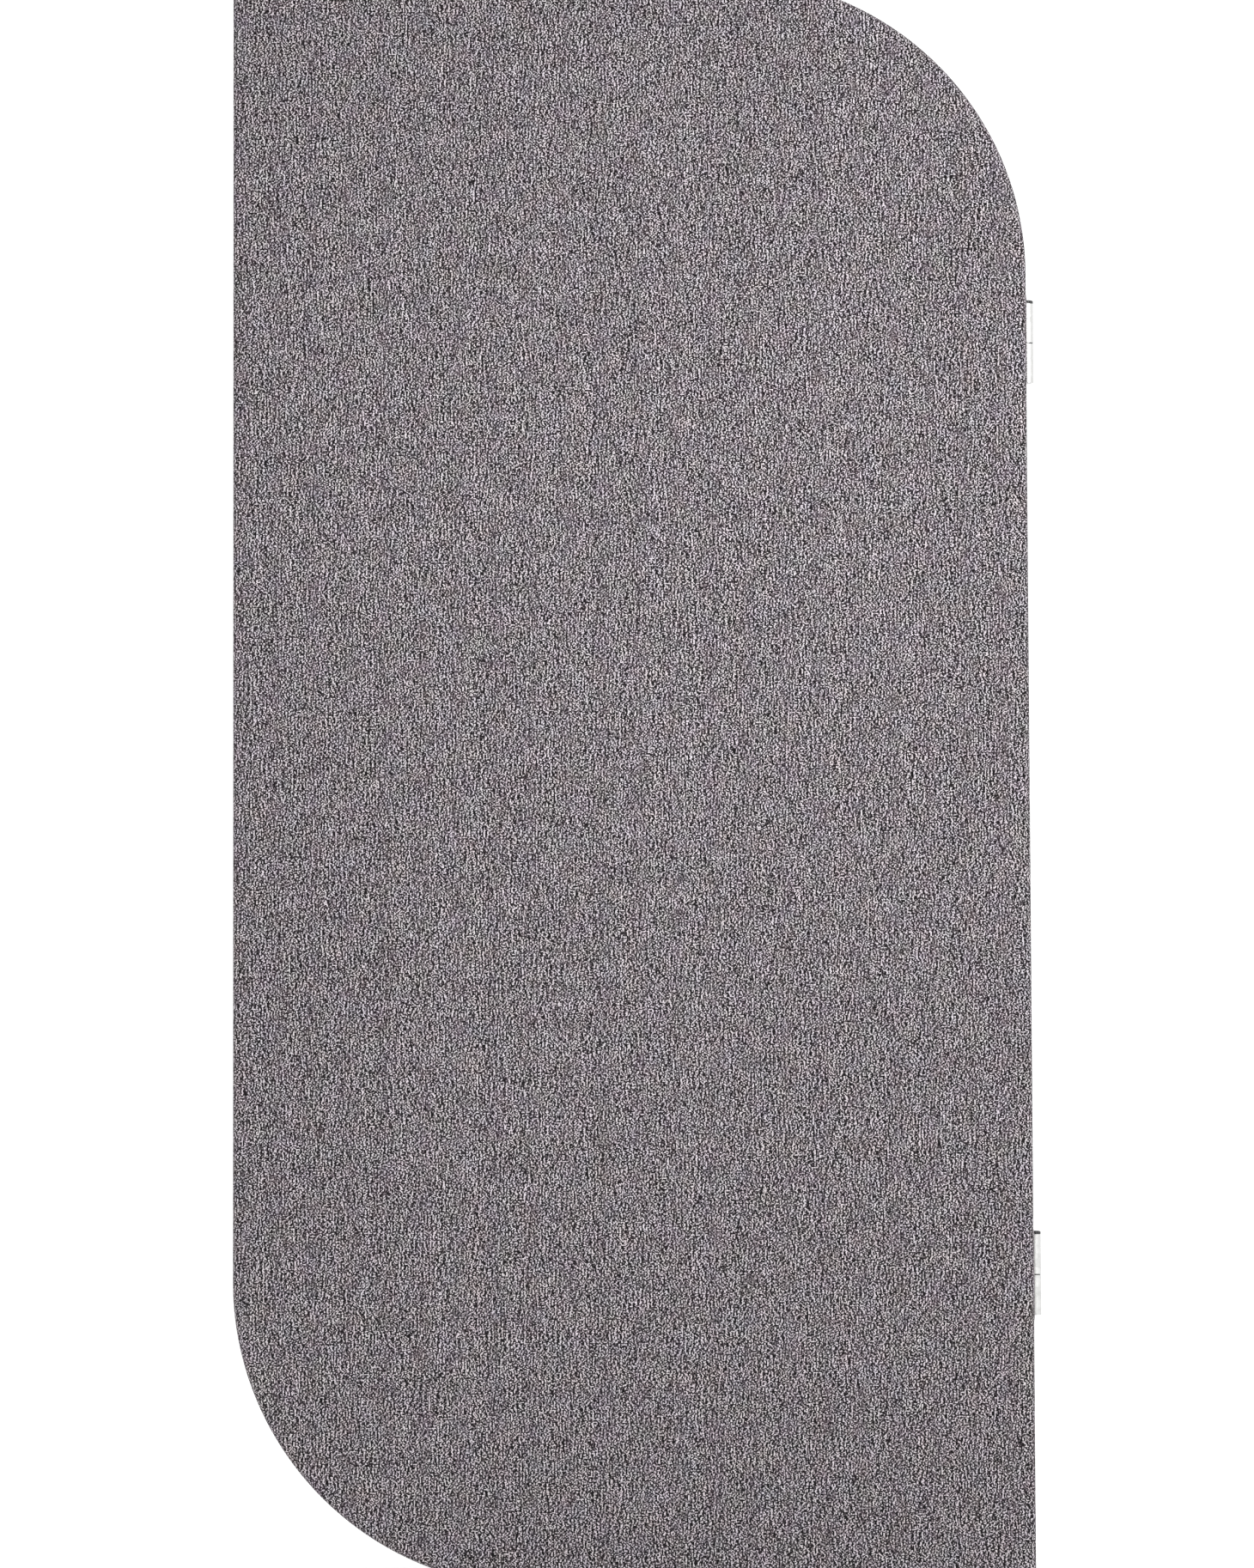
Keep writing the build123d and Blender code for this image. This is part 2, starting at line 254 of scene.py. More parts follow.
# Steel: lines and smears, and how far each changes tone and roughness
LINE_PITCH = 0.12 * MM
LINE_LENGTH = 7 * MM
LINE_TONE = 0.55
LINE_ROUGHNESS = 0.2
LINE_BUMP = 0.12
LINE_DEPTH = 0.05 * MM
SMEAR_PITCH = 9 * MM
SMEAR_TONE = 0.3
SMEAR_ROUGHNESS = 0.4

# Nylon's grain and its rubbed spots, and the faint cast of the floor
NYLON_GRAIN = 0.35 * MM
NYLON_RUB = 6 * MM
FLOOR_CAST_SCALE = 2.0


def link_object(name, data):
    """A new object of that mesh, light or camera in the scene."""
    piece = bpy.data.objects.new(name, data)
    bpy.context.scene.collection.objects.link(piece)
    return piece


# Shaders


def add(tree, kind, inputs=None, **settings):
    """A new node. Each input is a value or the socket that drives it."""
    node = tree.nodes.new(kind)
    for name, value in settings.items():
        setattr(node, name, value)
    for key, value in (inputs or {}).items():
        if isinstance(value, bpy.types.NodeSocket):
            tree.links.new(value, node.inputs[key])
        else:
            node.inputs[key].default_value = value
    return node


def math_node(tree, operation, *values):
    """The result of a Math node."""
    return add(tree, "ShaderNodeMath", dict(enumerate(values)), operation=operation).outputs[0]


def vector_node(tree, operation, *values):
    """The result of a Vector Math node."""
    return add(tree, "ShaderNodeVectorMath", dict(enumerate(values)), operation=operation).outputs[0]


def scaled(tree, vector, scale, offset=(0, 0, 0)):
    """A vector times scale, plus offset."""
    return vector_node(tree, "MULTIPLY_ADD", vector, scale, offset)


def pitched(tree, place, pitch, offset=(0, 0, 0)):
    """A place in steps of one pitch, the same along every axis."""
    return scaled(tree, place, (1 / pitch,) * 3, offset)


def dimmed(tree, colour, share):
    """A colour times a number."""
    return add(tree, "ShaderNodeVectorMath", {0: colour, 3: share}, operation="SCALE").outputs[0]


def noise(tree, vector, detail=0.0, roughness=0.5, distortion=0.0, dimensions="3D"):
    """Noise with features about one unit across, from 0 to 1."""
    inputs = {
        "Vector": vector,
        "Scale": 1.0,
        "Detail": detail,
        "Roughness": roughness,
        "Distortion": distortion,
    }
    return add(tree, "ShaderNodeTexNoise", inputs, noise_dimensions=dimensions).outputs[0]


def mix_colour(tree, factor, first, second, blend="MIX"):
    """One colour laid over another by factor."""
    node = add(tree, "ShaderNodeMix", data_type="RGBA", blend_type=blend, clamp_factor=True)
    sockets = [s for s in node.inputs if s.enabled]
    for socket, value in zip(sockets, (factor, first, second)):
        if isinstance(value, bpy.types.NodeSocket):
            tree.links.new(value, socket)
        else:
            socket.default_value = value
    return next(s for s in node.outputs if s.enabled)


def ramp(tree, factor, stops):
    """A colour ramp's colour. Stops are places from 0 to 1 with their colours."""
    node = add(tree, "ShaderNodeValToRGB", {"Fac": factor})
    elements = node.color_ramp.elements
    while len(elements) < len(stops):
        elements.new(0.5)
    for element, (place, colour) in zip(elements, stops):
        element.position = place
        element.color = (*colour, 1.0)
    return node.outputs[0]


def bump(tree, height, strength, distance):
    """A normal bent by a height from 0 to 1."""
    inputs = {"Height": height, "Strength": strength, "Distance": distance}
    return add(tree, "ShaderNodeBump", inputs).outputs[0]


def new_material(name, **constants):
    """A material, its node tree and its shader. Constants are set on the shader's own sockets."""
    material = bpy.data.materials.new(name)
    material.use_nodes = True
    tree = material.node_tree
    shader = tree.nodes["Principled BSDF"]
    for key, value in constants.items():
        shader.inputs[key.replace("_", " ")].default_value = value
    return material, tree, shader


def drive(tree, shader, **sockets):
    """Links sockets into the shader's inputs of those names."""
    for key, socket in sockets.items():
        tree.links.new(socket, shader.inputs[key.replace("_", " ")])


def object_place(tree):
    """Object coordinates, which are places in the frame at rest."""
    return add(tree, "ShaderNodeTexCoord").outputs["Object"]


def weave(tree, millimetres):
    """A plain weave: the middle of the grain at each place, its height and its fibres, from 0 to 1."""
    inputs = {"Vector": millimetres, "Scale": 1 / WANDER_PITCH, "Detail": 1.0}
    wander = add(tree, "ShaderNodeTexNoise", inputs, noise_dimensions="2D").outputs[1]
    moved = scaled(tree, wander, (WEAVE_WANDER, WEAVE_WANDER, 0), millimetres)
    across_pitch, up_pitch = WEAVE_PITCH
    cells = scaled(tree, moved, (1 / across_pitch, 1 / up_pitch, 0))
    corner = vector_node(tree, "FLOOR", cells)
    inside = vector_node(tree, "SUBTRACT", cells, corner)
    middle = scaled(tree, corner, (across_pitch, up_pitch, 0), (across_pitch / 2, up_pitch / 2, 0))
    column, row, _ = add(tree, "ShaderNodeSeparateXYZ", {0: corner}).outputs
    right, up, _ = add(tree, "ShaderNodeSeparateXYZ", {0: inside}).outputs
    weft = math_node(tree, "MODULO", math_node(tree, "ADD", column, row), 2.0)
    lean = math_node(tree, "MULTIPLY", math_node(tree, "SUBTRACT", up, right), weft)
    across = math_node(tree, "SUBTRACT", math_node(tree, "ADD", right, lean), 0.5)
    along = math_node(tree, "SUBTRACT", math_node(tree, "SUBTRACT", up, lean), 0.5)
    ridge = math_node(tree, "COSINE", math_node(tree, "MULTIPLY", across, math.pi))
    arch = math_node(tree, "COSINE", math_node(tree, "MULTIPLY", along, ARCH_SPAN * math.pi))
    height = math_node(tree, "MULTIPLY", math_node(tree, "POWER", ridge, RIDGE_FLATNESS), arch)
    slanted = math_node(tree, "MULTIPLY_ADD", along, FIBRE_TWIST, across)
    spot = add(tree, "ShaderNodeCombineXYZ", {0: slanted, 1: along}).outputs[0]
    strand = scaled(tree, spot, (up_pitch / FIBRE_PITCH[0], up_pitch / FIBRE_PITCH[1], 0))
    shuffled = scaled(tree, corner, FIBRE_SHUFFLE, strand)
    fibre = noise(tree, shuffled, detail=1.0, dimensions="2D")
    return middle, height, fibre


def layer(tree, spot, pitch, start, detail=0.0, sway=0.0, step=(0, 0)):
    """A layer of noise over the grains, about -0.5 to 0.5.

    The columns of a layer with sway start at different heights, so that its rows don't line up.
    """
    across, up = spot
    column = math_node(tree, "ADD", across, step[0]) if step[0] else across
    level = math_node(tree, "ADD", up, step[1]) if step[1] else up
    if sway:
        turn = math_node(tree, "MULTIPLY", column, 2 * math.pi / SWAY_PITCH)
        level = math_node(tree, "MULTIPLY_ADD", math_node(tree, "SINE", turn), sway, level)
    place = add(tree, "ShaderNodeCombineXYZ", {0: column, 1: level}).outputs[0]
    place = scaled(tree, place, (1 / pitch[0], 1 / pitch[1], 0), (start, -start, 0))
    value = noise(tree, place, detail=detail, dimensions="2D")
    return math_node(tree, "SUBTRACT", value, 0.5)


def flecks(tree, spot, pitch, start, thinning, sway):
    """A layer of flecks. A share of those a step further on is taken off, so that they don't gather."""
    value = layer(tree, spot, pitch, start, sway=sway)
    for axis, share in enumerate(thinning):
        if share:
            step = [THINNING_STEP[axis] * (axis == way) for way in range(2)]
            further = layer(tree, spot, pitch, start, sway=sway, step=step)
            value = math_node(tree, "MULTIPLY_ADD", further, -share, value)
    return value


def cloth_material():
    """Grey melange cloth: woven grains in upright light and dark flecks, faint bands, pink and blue casts."""
    material, tree, shader = new_material(
        "melange_cloth",
        Sheen_Weight=0.12,
        Sheen_Roughness=0.5,
        Sheen_Tint=(1.0, 0.93, 0.97, 1.0),
        Specular_IOR_Level=0.15,
    )
    cloth = add(tree, "ShaderNodeUVMap", uv_map="cloth").outputs[0]
    grain, height, fibre = weave(tree, scaled(tree, cloth, (1 / MM, 1 / MM, 0)))
    spot = tuple(add(tree, "ShaderNodeSeparateXYZ", {0: grain}).outputs)[:2]

    relief = 0.0
    for pitch, start, thinning, sway, strength in FLECKS:
        value = flecks(tree, spot, pitch, start, thinning, sway)
        relief = math_node(tree, "MULTIPLY_ADD", value, strength, relief)
    patches = layer(tree, spot, PATCH_PITCH, PATCH_START, detail=1.0)
    contrast = math_node(tree, "MULTIPLY_ADD", patches, PATCH_CONTRAST, 1.0)
    for axis, depth in zip(spot, WAVE_CONTRAST):
        wave = math_node(tree, "COSINE", math_node(tree, "MULTIPLY", axis, 2 * math.pi / WAVE_PITCH))
        contrast = math_node(tree, "MULTIPLY_ADD", wave, depth, contrast)

    tone = math_node(tree, "MULTIPLY_ADD", contrast, -CONTRAST_DIMMING, CLOTH_TONE + CONTRAST_DIMMING)
    tone = math_node(tree, "MULTIPLY_ADD", relief, contrast, tone)
    for pitch, start, strength in BROAD_TONES:
        value = layer(tree, spot, pitch, start, detail=2.0)
        tone = math_node(tree, "MULTIPLY_ADD", value, strength, tone)
    tone = math_node(tree, "MULTIPLY_ADD", math_node(tree, "SUBTRACT", fibre, 0.5), FIBRE_TONE, tone)
    tone = add(tree, "ShaderNodeClamp", {0: tone, 1: TONE_LIMITS[0], 2: TONE_LIMITS[1]}).outputs[0]
    # Painted shade: each grain's tone falls from its crown to its rim with its height, darkening the hollows
    # between grains, partly standing for the darker yarn below
    shade = math_node(tree, "MULTIPLY_ADD", height, 1 - PAINTED_RIM_SHADE, PAINTED_RIM_SHADE)
    tone = math_node(tree, "MULTIPLY", tone, shade)

    cast = CLOTH_CAST
    for start, strength in CASTS:
        cast = scaled(tree, layer(tree, spot, CAST_PITCH, start, detail=2.0), strength, cast)
    display = vector_node(tree, "ADD", cast, tone)
    reflectance = add(tree, "ShaderNodeGamma", {0: display, 1: DISPLAY_GAMMA}).outputs[0]
    colour = dimmed(tree, reflectance, CLOTH_GAIN)

    surface = math_node(tree, "MULTIPLY_ADD", fibre, FIBRE_HEIGHT, height)
    rough = math_node(tree, "MULTIPLY_ADD", fibre, -FIBRE_GLOSS, 1.0)
    drive(tree, shader, Base_Color=colour, Roughness=rough, Normal=bump(tree, surface, *CLOTH_BUMP))
    return material


def thread_material():
    """Twisted grey sewing thread."""
    material, tree, shader = new_material("sewing_thread", Sheen_Weight=0.2, Specular_IOR_Level=0.3)
    inputs = {
        "Vector": pitched(tree, object_place(tree), TWIST_PITCH),
        "Scale": TWIST_SCALE,
        "Distortion": TWIST_BEND,
    }
    twist = add(tree, "ShaderNodeTexWave", inputs, bands_direction="DIAGONAL").outputs[1]
    colour = ramp(tree, twist, ((0.0, (0.045, 0.042, 0.045)), (1.0, (0.17, 0.16, 0.168))))
    rough = math_node(tree, "MULTIPLY_ADD", twist, -0.2, 0.8)
    drive(tree, shader, Base_Color=colour, Roughness=rough, Normal=bump(tree, twist, 0.5, 0.1 * MM))
    return material


def felt_material(name, dark, light, fleck, fibre):
    """Needled felt: tangled fibres, with a share of odd-coloured ones."""
    material, tree, shader = new_material(name, Sheen_Weight=0.25, Sheen_Roughness=0.6)
    place = object_place(tree)
    tangle = noise(tree, pitched(tree, place, fibre), detail=4.0, distortion=2.2)
    lumps = noise(tree, pitched(tree, place, LUMP_SIZE * fibre), detail=2.0)
    odd_place = pitched(tree, place, ODD_SIZE * fibre, ODD_START)
    odd = noise(tree, odd_place, detail=3.0, distortion=3.0)
    body = ramp(tree, tangle, ((0.3, dark), (0.7, light)))
    odd_share = ramp(tree, odd, ((0.6, (0, 0, 0)), (0.68, (1, 1, 1))))
    colour = mix_colour(tree, odd_share, body, (*fleck, 1.0))
    shade = ramp(tree, lumps, ((0.3, (0.82, 0.82, 0.82)), (0.7, (1.0, 1.0, 1.0))))
    colour = mix_colour(tree, 1.0, colour, shade, blend="MULTIPLY")
    rough = math_node(tree, "MULTIPLY_ADD", tangle, -0.2, 1.0)
    drive(tree, shader, Base_Color=colour, Roughness=rough, Normal=bump(tree, tangle, 0.7, fibre))
    return material


def wood_material(name, along, pale, dark, ring_pitch):
    """Planed timber with its grain along one axis, 0 for X or 2 for Z."""
    material, tree, shader = new_material(name, Specular_IOR_Level=0.35, Coat_Weight=0.05)
    place = object_place(tree)
    stretch = [1 / ring_pitch] * 3
    stretch[along] = 1 / (FIGURE_LENGTH * ring_pitch)
    wander = noise(tree, scaled(tree, place, [s * FIGURE_WANDER_SCALE for s in stretch]), detail=2.0)
    bent = scaled(tree, wander, FIGURE_WANDER, scaled(tree, place, stretch))
    rings = add(
        tree,
        "ShaderNodeTexWave",
        {"Vector": bent, "Scale": RING_SCALE, "Distortion": RING_BEND, "Detail": 2.0},
        bands_direction="X" if along == 2 else "Z",
        wave_profile="SAW",
    ).outputs[1]
    fine = [1 / PORE_PITCH] * 3
    fine[along] = 1 / PORE_LENGTH
    pores = noise(tree, scaled(tree, place, fine), detail=3.0, roughness=0.6)
    late = tuple((1 - LATE_WOOD_SHARE) * p + LATE_WOOD_SHARE * d for p, d in zip(pale, dark))
    colour = ramp(tree, rings, ((0.0, pale), (LATE_WOOD_START, late), (1.0, dark)))
    fleck = ramp(tree, pores, ((0.34, (0.72, 0.66, 0.6)), (0.55, (1.0, 1.0, 1.0))))
    colour = mix_colour(tree, 0.8, colour, fleck, blend="MULTIPLY")
    rough = math_node(tree, "MULTIPLY_ADD", pores, -0.25, 0.72)
    height = math_node(tree, "MULTIPLY_ADD", rings, -0.4, pores)
    drive(tree, shader, Base_Color=colour, Roughness=rough, Normal=bump(tree, height, 0.25, 0.2 * MM))
    return material


def steel_material(name, colour, rough, scratch_axis, scratch):
    """Bare steel with fine lines along one axis and faint smears."""
    material, tree, shader = new_material(name, Metallic=1.0)
    place = object_place(tree)
    stretch = [1 / LINE_PITCH] * 3
    stretch[scratch_axis] = 1 / LINE_LENGTH
    lines = noise(tree, scaled(tree, place, stretch), detail=3.0, roughness=0.7)
    smear = noise(tree, pitched(tree, place, SMEAR_PITCH), detail=4.0, distortion=1.2)
    tone = math_node(tree, "MULTIPLY_ADD", lines, LINE_TONE * scratch, 1.0 - LINE_TONE / 2 * scratch)
    tone = math_node(tree, "MULTIPLY_ADD", smear, SMEAR_TONE, tone)
    tone = math_node(tree, "SUBTRACT", tone, SMEAR_TONE / 2)
    gloss = math_node(tree, "MULTIPLY_ADD", smear, SMEAR_ROUGHNESS, rough - SMEAR_ROUGHNESS / 2)
    gloss = math_node(tree, "MULTIPLY_ADD", lines, LINE_ROUGHNESS * scratch, gloss)
    normal = bump(tree, lines, LINE_BUMP * scratch, LINE_DEPTH)
    drive(tree, shader, Base_Color=dimmed(tree, colour, tone), Roughness=gloss, Normal=normal)
    return material


def nylon_material():
    """Near-black moulded nylon with a fine spark-eroded grain and paler rubbed spots."""
    material, tree, shader = new_material("black_nylon", Specular_IOR_Level=0.5)
    place = object_place(tree)
    grain = noise(tree, pitched(tree, place, NYLON_GRAIN), detail=3.0, roughness=0.6)
    rub = noise(tree, pitched(tree, place, NYLON_RUB), detail=3.0, distortion=0.8)
    colour = ramp(tree, rub, ((0.35, (0.016, 0.016, 0.017)), (0.75, (0.042, 0.042, 0.044))))
    rough = math_node(tree, "MULTIPLY_ADD", grain, 0.25, 0.32)
    drive(tree, shader, Base_Color=colour, Roughness=rough, Normal=bump(tree, grain, 0.3, 0.1 * MM))
    return material


def floor_material():
    """Matt white studio floor."""
    material, tree, shader = new_material("studio_floor", Roughness=0.9, Specular_IOR_Level=0.1)
    cast = noise(tree, scaled(tree, object_place(tree), (FLOOR_CAST_SCALE,) * 3), detail=2.0)
    colour = ramp(tree, cast, ((0.3, (0.9, 0.9, 0.9)), (0.7, (0.92, 0.92, 0.92))))
    drive(tree, shader, Base_Color=colour)
    return material


# Outlines and soft meshes


def edge_steps(length, step, fine_zones=()):
    """Places from 0 to length, the last left out, step apart, or HINGE_STEP apart inside fine zones."""
    places, at = [], 0.0
    stops = [z for low, high in sorted(fine_zones) for z in (low, high)] + [length]
    for i, stop in enumerate(stops):
        pace = HINGE_STEP if i % 2 else step
        count = max(1, round((stop - at) / pace))
        places += [at + (stop - at) * k / count for k in range(count)]
        at = stop
    return places


def outline(low, high, radii, step, fine_zones=()):
    """A rounded rectangle in X and Z, as points, outward normals and lengths along it.

    It runs anticlockwise as seen from -Y, from the bottom edge's left end. Radii are those of the
    bottom left, bottom right, top right and top left corners, and fine zones are heights.
    """
    corners = ((low[0], low[1]), (high[0], low[1]), (high[0], high[1]), (low[0], high[1]))
    centres = [
        (x + (r if x == low[0] else -r), z + (r if z == low[1] else -r))
        for (x, z), r in zip(corners, radii)
    ]
    points, normals = [], []
    for side in range(4):
        turn = (side - 1) * math.pi / 2
        normal = np.array((math.cos(turn), math.sin(turn)))
        along = np.array((-normal[1], normal[0]))
        start = np.array(centres[side]) + radii[side] * normal
        end = np.array(centres[(side + 1) % 4]) + radii[(side + 1) % 4] * normal
        length = float((end - start) @ along)
        zones = [(a - start[1], b - start[1]) for a, b in fine_zones] if side == 1 else ()
        for place in edge_steps(length, step, zones):
            points.append(start + place * along)
            normals.append(normal)
        corner = (side + 1) % 4
        count = max(4, round(radii[corner] * math.pi / 2 / step))
        for k in range(count):
            angle = turn + math.pi / 2 * k / count
            direction = np.array((math.cos(angle), math.sin(angle)))
            points.append(np.array(centres[corner]) + radii[corner] * direction)
            normals.append(direction)
    points, normals = np.array(points), np.array(normals)
    gaps = np.linalg.norm(np.roll(points, -1, axis=0) - points, axis=1)
    return points, normals, np.r_[0, np.cumsum(gaps)]


def depth_inside(points, low, high, radii):
    """How far points lie inside a rounded rectangle."""
    middle = (np.array(low) + np.array(high)) / 2
    half = (np.array(high) - np.array(low)) / 2
    away = points - middle
    corner = np.where(away[:, 1] < 0, np.where(away[:, 0] < 0, 0, 1), np.where(away[:, 0] < 0, 3, 2))
    radius = np.array(radii)[corner]
    past = np.abs(away) - half + radius[:, None]
    outside = np.linalg.norm(np.maximum(past, 0), axis=1)
    return radius - outside - np.minimum(past.max(axis=1), 0)


def face_net(ring, low, high, radii, inset, step):
    """Points inside a ring of points, and the triangles that fill the ring with them."""
    counts = [max(2, round((end - start) / step)) for start, end in zip(low, high)]
    across, up = (np.linspace(start, end, n + 1) for start, end, n in zip(low, high, counts))
    grid = np.array([(x, z) for z in up for x in across])
    inner = grid[depth_inside(grid, low, high, radii) > inset + CLEAR_OF_RING * step]
    every = [Vector(p) for p in np.vstack((ring, inner))]
    loop = list(range(len(ring)))
    found = geometry.delaunay_2d_cdt(every, [], [loop], 1, 1e-9)
    return inner, found[2]


def waves_over(points, seed, shortest, longest, count=28):
    """A smooth random height over the plane, about -1 to 1, from a sum of plane waves."""
    draw = np.random.default_rng(seed)
    lengths = shortest * (longest / shortest) ** draw.random(count)
    headings = draw.random(count) * 2 * math.pi
    starts = draw.random(count) * 2 * math.pi
    turns = 2 * math.pi / lengths * (points[:, :1] * np.cos(headings) + points[:, 1:] * np.sin(headings))
    return np.sin(turns + starts).sum(axis=1) / math.sqrt(count)


def smooth_step(value):
    """0 below 0, 1 above 1, and a soft rise between."""
    t = np.clip(value, 0, 1)
    return t * t * (3 - 2 * t)


def build_mesh(name, places, faces, flat=None):
    """A smooth mesh, with a UV map called cloth where the flat places are given."""
    mesh = bpy.data.meshes.new(name)
    mesh.from_pydata(places.tolist(), [], faces)
    mesh.shade_smooth()
    if flat is not None:
        corner_points = np.zeros(len(mesh.loops), np.int32)
        mesh.loops.foreach_get("vertex_index", corner_points)
        uv_layer = mesh.uv_layers.new(name="cloth")
        uv_layer.data.foreach_set("uv", flat[corner_points].astype(np.float32).ravel())
    mesh.validate()
    return mesh


def closed_cloth(name, places, faces, rim, flat, offset):
    """A sheet of cloth as a closed mesh: its outer side, its inner side behind it, and its cut edge.

    Places and faces are the outer side's, and its first rim points are the cut edge. The UV map cloth
    holds the flat places plus offset. The other lays out the outer side alone on nearly the whole of
    its square, with the inner side and the edge in strips below, so that a bake keeps the flecks.
    """
    outer = bpy.data.meshes.new(f"{name}_outer")
    outer.from_pydata(places.tolist(), [], faces)
    normals = np.zeros(places.size, np.float32)
    outer.vertex_normals.foreach_get("vector", normals)
    bpy.data.meshes.remove(outer)
    count = len(places)
    every = np.vstack((places, places - CLOTH_THICKNESS * normals.reshape(-1, 3)))
    inner_faces = [tuple(count + k for k in reversed(face)) for face in faces]
    forward = faces[0].index(1) - faces[0].index(0) in (1, -3)
    edge_faces = []
    for k in range(rim):
        after = (k + 1) % rim
        edge_face = (after, k, count + k, count + after)
        edge_faces.append(edge_face if forward else tuple(reversed(edge_face)))
    mesh = build_mesh(name, every, faces + inner_faces + edge_faces, np.vstack((flat, flat)) + offset)
    share = (flat - flat.min(axis=0)) / np.ptp(flat, axis=0)
    low, high = BAKE_MARGIN, 1 - BAKE_MARGIN
    layout = [(low + u * (high - low), BAKE_SIDE + v * (high - BAKE_SIDE)) for u, v in share]
    inner_layout = [(u, low + v * BAKE_INNER) for u, v in np.c_[np.array(layout)[:, 0], share[:, 1]]]
    corners = [layout[k] for face in faces for k in face]
    corners += [inner_layout[k - count] for face in inner_faces for k in face]
    for k, edge_face in enumerate(edge_faces):
        for point in edge_face:
            turn = (k + (point % count != k)) / rim
            corners.append((low + turn * (high - low), BAKE_EDGE + (point >= count) * BAKE_EDGE_WIDTH))
    uv_layer = mesh.uv_layers.new(name=BAKE_MAP)
    uv_layer.data.foreach_set("uv", np.array(corners, np.float32).ravel())
    return link_object(name, mesh)


def ring_faces(rings, count):
    """Quads between rings of count points each, the rings one after another."""
    return [
        (r * count + k, r * count + (k + 1) % count, (r + 1) * count + (k + 1) % count, (r + 1) * count + k)
        for r in range(rings - 1)
        for k in range(count)
    ]


# The cloth covers


def cover_section():
    """The section of a cover's edge, from the seam to the flat face.

    Each step is how far it lies in from the outline, how far behind the face, the two parts of its
    outward direction, and how far along the cloth it lies from the flat part.
    """
    rows = []
    for depth in [d * MM for d in (*SEAM_STEPS, *SIDE_STEPS)]:
        rows.append((0.0, depth, 1.0, 0.0, EDGE_RADIUS * math.pi / 2 + depth - EDGE_RADIUS))
    for k in range(ARC_STEPS + 1):
        angle = math.pi / 2 * k / ARC_STEPS
        inset = EDGE_RADIUS * (1 - math.cos(angle))
        depth = EDGE_RADIUS * (1 - math.sin(angle))
        rows.append((inset, depth, math.cos(angle), math.sin(angle), EDGE_RADIUS * (math.pi / 2 - angle)))
    rows.append((RING_INSET, 0.0, 0.0, 1.0, EDGE_RADIUS - RING_INSET))
    return rows


def hinge_middle(hinge):
    """The height of a hinge's joint."""
    low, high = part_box(f"{hinge}_washer")
    return (low.z + high.z) / 2


def leaf_distance(across, up, hinge_height, own_side):
    """How far points on the panel's edge lie outside a hinge leaf's plate, less than 0 inside it."""
    middle, half = (LEAF_NEAR + LEAF_FAR) / 2, (LEAF_FAR - LEAF_NEAR) / 2
    past_across = np.abs(across - middle) - half + LEAF_CORNER
    past_up = np.abs(up - hinge_height) - LEAF_HALF_HEIGHT + LEAF_CORNER
    plate = np.hypot(np.maximum(past_across, 0), np.maximum(past_up, 0)) - LEAF_CORNER
    plate += np.minimum(np.maximum(past_across, past_up), 0)
    tongue_up = np.abs(up - hinge_height - own_side * LEAF_HALF_HEIGHT / 2) - LEAF_HALF_HEIGHT / 2
    tongue = np.maximum(across - LEAF_NEAR, tongue_up)
    return np.minimum(plate, tongue)


def cloth_shift(panel, points, lengths, on_hinge_side, from_seam, across):
    """How far a row of the cloth on a panel's edge stands out at its points: seam, puckers, hinge leaves.

    The row lies from_seam away from the seam, and across away from the middle of the folded screen.
    """
    shift = -SEAM_DEPTH * np.exp(-((from_seam / SEAM_REACH) ** 2)) * np.ones(len(points))
    line = np.c_[lengths, np.full(len(lengths), PUCKER_LINE)]
    pucker = waves_over(line, PUCKER_SEED, *PUCKER_LENGTHS)
    shift += PUCKER_DEPTH * pucker * math.exp(-from_seam / PUCKER_REACH)
    row = np.full(len(points), across)
    for hinge in HINGES:
        gap = leaf_distance(row, points[:, 1], hinge_middle(hinge), OUTWARD[panel])
        rise = smooth_step((gap + LIP_START) / (LIP_PLACE + LIP_START))
        fall = 1 - smooth_step((gap - LIP_PLACE) / LIP_REACH)
        lip = np.where(gap > LIP_PLACE, LIP_HEIGHT * fall, rise * (LIP_HEIGHT + LEAF_PRESS) - LEAF_PRESS)
        near = (gap < LIP_PLACE + LIP_REACH) & on_hinge_side
        shift = np.where(near, np.where(gap < 0, lip, shift + lip), shift)
    return shift


def cover_net():
    """What all covers share.

    That is their outline's points, normals and lengths, the points and triangles of their face, and
    how deep their edge is.
    """
    low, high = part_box("front_outer_cover")
    corners = (low.x, low.z), (high.x, high.z)
    zones = [(hinge_middle(h) - HINGE_ZONE, hinge_middle(h) + HINGE_ZONE) for h in HINGES]
    points, normals, lengths = outline(*corners, PANEL_RADII, OUTLINE_STEP, zones)
    ring = points - normals * RING_INSET
    inner, fill = face_net(ring, *corners, PANEL_RADII, RING_INSET, FACE_STEP)
    return points, normals, lengths, inner, fill, high.y - low.y


